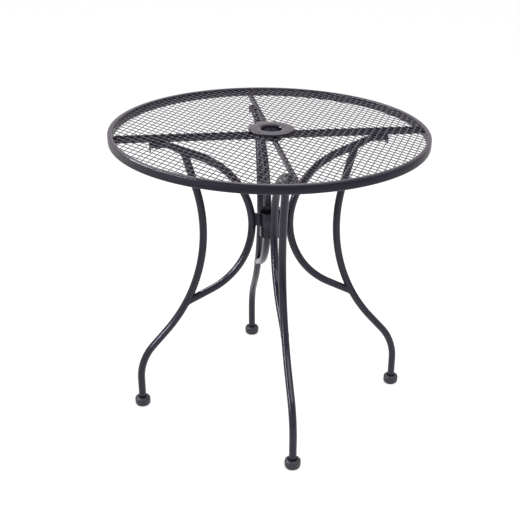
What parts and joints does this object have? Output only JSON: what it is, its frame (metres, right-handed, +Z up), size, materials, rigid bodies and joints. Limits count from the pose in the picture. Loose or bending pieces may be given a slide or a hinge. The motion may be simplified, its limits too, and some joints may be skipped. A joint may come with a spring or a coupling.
{
  "type": "umbrella table",
  "caption": "Round metal patio table with a wire mesh top, an umbrella hole, bent tube legs with curved braces, and a pole collar with a clamp screw",
  "frame": {"origin": "On the floor, under the middle of the umbrella hole: the bottom centre of the bounding box", "axes": "+Z up along the umbrella pole; the four legs stand on +X, +Y, -X and -Y, and the leg nearest the camera in the picture is on -Y"},
  "size_m": [0.7619, 0.762, 0.741],
  "materials": {
    "charcoal_paint": "satin charcoal powder coat",
    "mesh_paint": "satin charcoal powder coat on expanded steel mesh",
    "black_plastic": "moulded charcoal plastic, low sheen",
    "dark_steel": "dark coated fastener steel"
  },
  "bodies": {
    "table": {"bracket_bolts": "dark_steel", "c_brace_1": "charcoal_paint", "c_brace_2": "charcoal_paint", "c_brace_3": "charcoal_paint", "c_brace_4": "charcoal_paint", "collar_lugs": "charcoal_paint", "collar_ring": "charcoal_paint", "foot_glides": "black_plastic", "hub_flange": "charcoal_paint", "hub_sleeve": "charcoal_paint", "leg_brackets": "charcoal_paint", "mesh_cross_strands": "mesh_paint", "mesh_strands": "mesh_paint", "pole_sleeve": "black_plastic", "rim_ring": "charcoal_paint", "s_leg_1": "charcoal_paint", "s_leg_2": "charcoal_paint", "s_leg_3": "charcoal_paint", "s_leg_4": "charcoal_paint", "support_arm_1": "charcoal_paint", "support_arm_2": "charcoal_paint", "support_arm_3": "charcoal_paint", "support_arm_4": "charcoal_paint"},
    "clamp_slider": {"clamp_stud": "dark_steel"},
    "clamp_handle": {"clamp_knob": "black_plastic"}
  },
  "joints": [
    {"name": "clamp_travel", "type": "slide", "parent": "table", "child": "clamp_slider", "axis": [-0.1045, -0.9945, 0], "range_m": [-0.003, 0]},
    {"name": "clamp_turn", "type": "hinge", "parent": "clamp_slider", "child": "clamp_handle", "pos_m": [-0.00353, -0.03361, 0.478], "axis": [-0.1045, -0.9945, 0], "range_deg": [-1080, 0]}
  ],
  "couplings": [
    {"joint": "clamp_turn", "follows": "clamp_travel", "rad_per_m": 6283}
  ]
}
